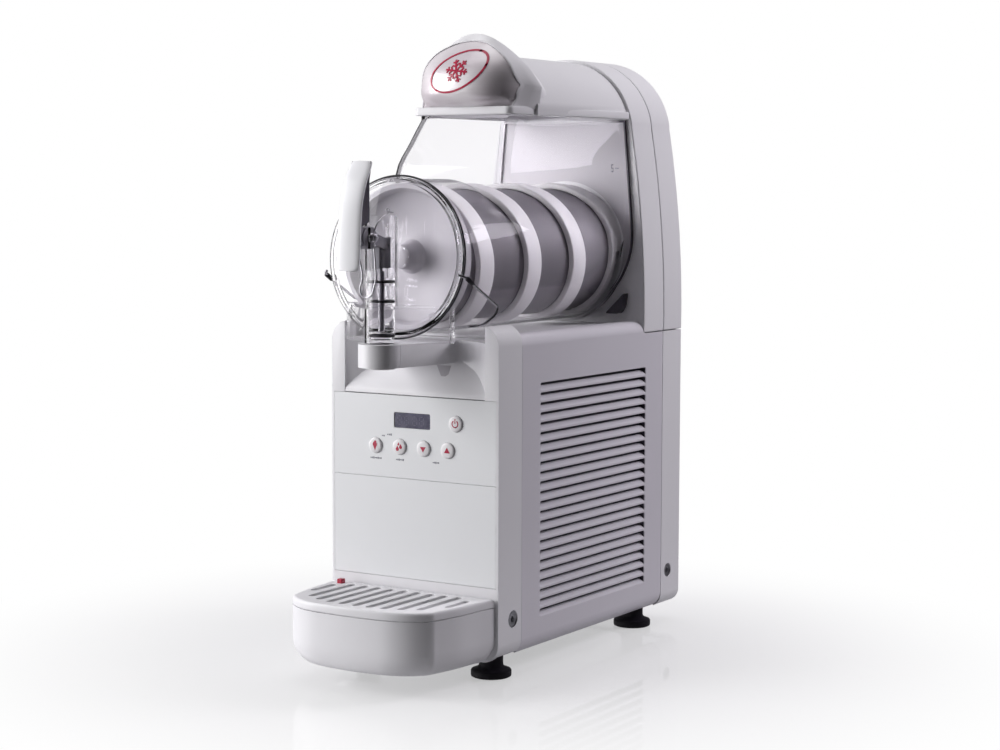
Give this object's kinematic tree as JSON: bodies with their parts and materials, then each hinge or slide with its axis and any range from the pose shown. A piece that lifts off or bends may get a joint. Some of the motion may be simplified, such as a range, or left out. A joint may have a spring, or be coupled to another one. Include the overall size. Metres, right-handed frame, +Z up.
{
  "type": "slush machine",
  "caption": "Counter-top slush and soft-ice machine with a clear barrel bowl, helical auger, pull tap, louvred body and drip tray.",
  "frame": {"origin": "bottom centre of the whole machine, on the counter", "axes": "+X to the machine's right as seen by the person using it, -Y out of its front and +Z up"},
  "size_m": [0.2016, 0.4954, 0.64],
  "materials": {
    "sheet_steel": "galvanised",
    "white_plastic": "gloss",
    "white_satin": "satin",
    "painted_panel": "satin",
    "slate_window": "gloss",
    "black_plastic": "satin",
    "board_green": "satin",
    "grey_print": "flat",
    "red_plastic": "gloss",
    "clear_plastic": "clear gloss",
    "milky_plastic": "satin",
    "black_rubber": "matte",
    "grey_rubber": "matte",
    "steel_wire": "polished",
    "dark_grey": "satin",
    "grey_plastic": "satin",
    "silver_film": "bright satin",
    "drum_steel": "satin",
    "black_paint": "satin",
    "fin_aluminium": "satin"
  },
  "bodies": {
    "body": {"base_pan": "sheet_steel", "chassis_frame": "sheet_steel", "front_bezel": "white_plastic", "side_panel_right": "painted_panel", "side_panel_left": "painted_panel", "top_deck": "white_plastic", "rear_cover": "white_plastic", "hood_front": "white_plastic", "hood_back": "white_plastic", "spout_console": "white_plastic", "nozzle": "white_satin", "control_panel": "white_plastic", "lower_front_panel": "white_plastic", "display_window": "slate_window", "display_module": "black_plastic", "control_board": "board_green", "button_icons": "grey_print", "evaporator_drum": "drum_steel", "shaft_seal": "black_rubber", "gearmotor": "dark_grey", "bowl_stops": "black_plastic", "compressor": "black_paint", "condenser": "fin_aluminium", "fan_shroud": "black_plastic", "fan_motor": "dark_grey", "power_inlet": "black_plastic", "foot_pads": "black_rubber", "foot_studs": "sheet_steel", "panel_screws": "grey_plastic"},
    "power_button": {"power_button": "white_satin"},
    "cone_button": {"cone_button": "white_satin"},
    "drops_button": {"drops_button": "white_satin"},
    "down_button": {"down_button": "white_satin"},
    "up_button": {"up_button": "white_satin"},
    "tray": {"drip_tray": "white_plastic"},
    "grid": {"drip_grid": "white_plastic"},
    "float": {"tray_float": "red_plastic"},
    "bowl": {"bowl": "clear_plastic", "front_cover": "clear_plastic", "cover_seal": "black_rubber", "bowl_gasket": "grey_rubber", "handle_pin": "steel_wire", "tap_spring": "steel_wire"},
    "latch_right": {"latch_right": "steel_wire"},
    "latch_left": {"latch_left": "steel_wire"},
    "piston": {"tap_piston": "milky_plastic", "piston_rod": "dark_grey", "piston_seals": "black_rubber"},
    "handle": {"tap_handle": "grey_plastic", "link_pin": "steel_wire"},
    "lid": {"lid": "white_plastic", "visor_plate": "silver_film", "visor_emblem": "red_plastic"},
    "auger": {"auger": "white_satin", "drive_shaft": "steel_wire"},
    "fan": {"condenser_fan": "black_plastic"}
  },
  "joints": [
    {"name": "power_press", "type": "slide", "parent": "body", "child": "power_button", "axis": [0, 1, 0], "range_m": [0, 0.0015], "stiffness_N_per_m": 600, "springref_m": -0.001},
    {"name": "cone_press", "type": "slide", "parent": "body", "child": "cone_button", "axis": [0, 1, 0], "range_m": [0, 0.0015], "stiffness_N_per_m": 600, "springref_m": -0.001},
    {"name": "drops_press", "type": "slide", "parent": "body", "child": "drops_button", "axis": [0, 1, 0], "range_m": [0, 0.0015], "stiffness_N_per_m": 600, "springref_m": -0.001},
    {"name": "down_press", "type": "slide", "parent": "body", "child": "down_button", "axis": [0, 1, 0], "range_m": [0, 0.0015], "stiffness_N_per_m": 600, "springref_m": -0.001},
    {"name": "up_press", "type": "slide", "parent": "body", "child": "up_button", "axis": [0, 1, 0], "range_m": [0, 0.0015], "stiffness_N_per_m": 600, "springref_m": -0.001},
    {"name": "tray_slide", "type": "slide", "parent": "body", "child": "tray", "axis": [0, -1, 0], "range_m": [0, 0.12]},
    {"name": "grid_lift", "type": "slide", "parent": "tray", "child": "grid", "axis": [0, 0, 1], "range_m": [0, 0.06]},
    {"name": "float_rise", "type": "slide", "parent": "grid", "child": "float", "axis": [0, 0, 1], "range_m": [0, 0.005]},
    {"name": "bowl_slide", "type": "slide", "parent": "body", "child": "bowl", "axis": [0, -1, 0], "range_m": [0, 0.3]},
    {"name": "latch_right_swing", "type": "hinge", "parent": "bowl", "child": "latch_right", "pos_m": [0.066, -0.11825, 0.355], "axis": [1, 0, 0], "range_deg": [0, 35]},
    {"name": "latch_left_swing", "type": "hinge", "parent": "bowl", "child": "latch_left", "pos_m": [-0.066, -0.11825, 0.355], "axis": [1, 0, 0], "range_deg": [0, 35]},
    {"name": "handle_pull", "type": "hinge", "parent": "bowl", "child": "handle", "pos_m": [0, -0.21825, 0.436], "axis": [1, 0, 0], "range_deg": [0, 25], "stiffness_Nm_per_rad": 0.8, "springref_deg": -17.19},
    {"name": "piston_lift", "type": "slide", "parent": "bowl", "child": "piston", "axis": [0, 0, 1], "range_m": [0, 0.0135]},
    {"name": "lid_lift", "type": "slide", "parent": "bowl", "child": "lid", "axis": [0, 0, 1], "range_m": [0, 0.15]},
    {"name": "auger_spin", "type": "hinge", "parent": "body", "child": "auger", "pos_m": [0, 0, 0.416], "axis": [0, 1, 0], "continuous": true},
    {"name": "fan_spin", "type": "hinge", "parent": "body", "child": "fan", "pos_m": [0, -0.02625, 0.108], "axis": [0, 1, 0], "continuous": true}
  ],
  "couplings": [
    {"joint": "piston_lift", "follows": "handle_pull", "m_per_rad": 0.0302}
  ]
}
